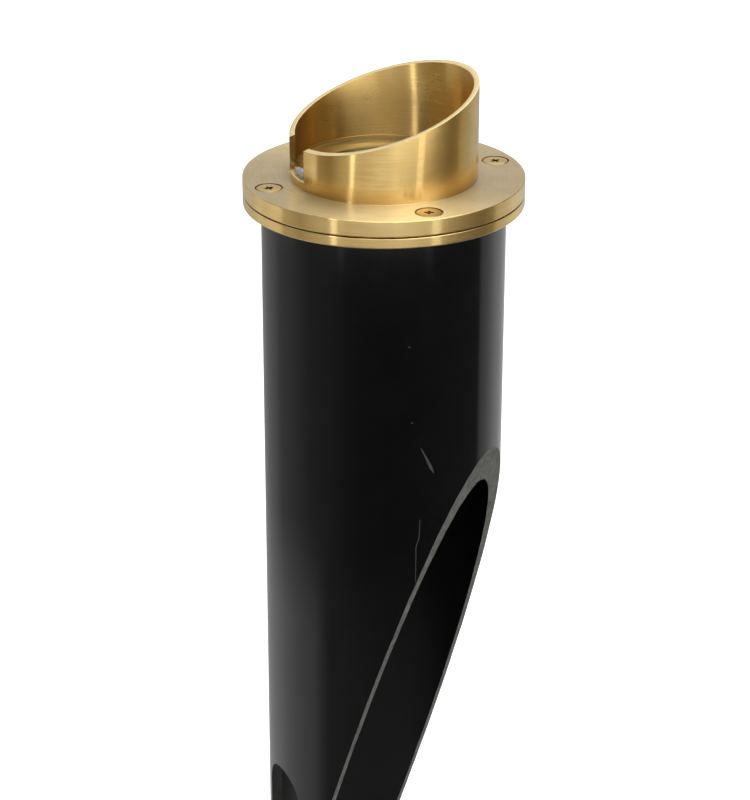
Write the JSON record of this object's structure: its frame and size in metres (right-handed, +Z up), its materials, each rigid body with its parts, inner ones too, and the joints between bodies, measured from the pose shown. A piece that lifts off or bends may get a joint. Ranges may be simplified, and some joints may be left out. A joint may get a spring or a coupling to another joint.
{
  "type": "in-ground well light",
  "caption": "Brass in-ground landscape light with a slanted glare cowl and drain notch on a round flange, a tilting reflector lamp inside, and a black pipe sleeve sawn to a stake.",
  "frame": {"origin": "on the light's axis, at the underside of the housing's flange, which is ground level", "axes": "+Z up along the axis, out of the cowl; -Y is the side that faces the camera in the picture, +X to its right"},
  "size_m": [0.086, 0.086, 0.3587],
  "materials": {
    "brass": "satin turned brass with fine lathe lines",
    "pipe_plastic": "glossy extruded black pipe, sawn end rough and grey",
    "lens_glass": "clear polished glass",
    "silicone": "translucent silicone",
    "rubber": "matt black rubber",
    "steel": "bright stamped steel",
    "mirror_glass": "pressed glass with a mirror coat",
    "ceramic": "white ceramic",
    "nylon": "moulded black nylon"
  },
  "bodies": {
    "sleeve": {"sleeve_tube": "pipe_plastic"},
    "head": {"housing_can": "brass", "flange_gasket": "rubber", "sleeve_oring_upper": "rubber", "sleeve_oring_lower": "rubber", "lamp_carrier": "steel", "gland_body": "nylon", "gland_washer": "rubber", "gland_locknut": "nylon", "gland_bush": "rubber", "gland_nut": "nylon"},
    "cover": {"cowl_flange": "brass", "lens_glass": "lens_glass", "lens_seal": "silicone", "cover_screw_1": "brass", "cover_screw_2": "brass", "cover_screw_3": "brass", "cover_screw_4": "brass"},
    "lamp": {"gimbal_ring": "steel", "pivot_screw_left": "steel", "pivot_screw_right": "steel", "pivot_washer_left": "rubber", "pivot_washer_right": "rubber", "lamp_clip": "steel", "lamp_reflector": "mirror_glass", "lamp_cover_glass": "lens_glass", "lamp_capsule": "lens_glass", "lamp_base": "ceramic", "lamp_pin_1": "steel", "lamp_pin_2": "steel", "lamp_socket": "ceramic"}
  },
  "joints": [
    {"name": "head_turn", "type": "hinge", "parent": "sleeve", "child": "head", "pos_m": [0, 0, 0], "axis": [0, 0, 1], "range_deg": [-180, 180]},
    {"name": "cover_lift", "type": "slide", "parent": "head", "child": "cover", "axis": [0, 0, 1], "range_m": [0, 0.05]},
    {"name": "lamp_tilt", "type": "hinge", "parent": "head", "child": "lamp", "pos_m": [0, 0, -0.014], "axis": [1, 0, 0], "range_deg": [-15, 15]}
  ]
}
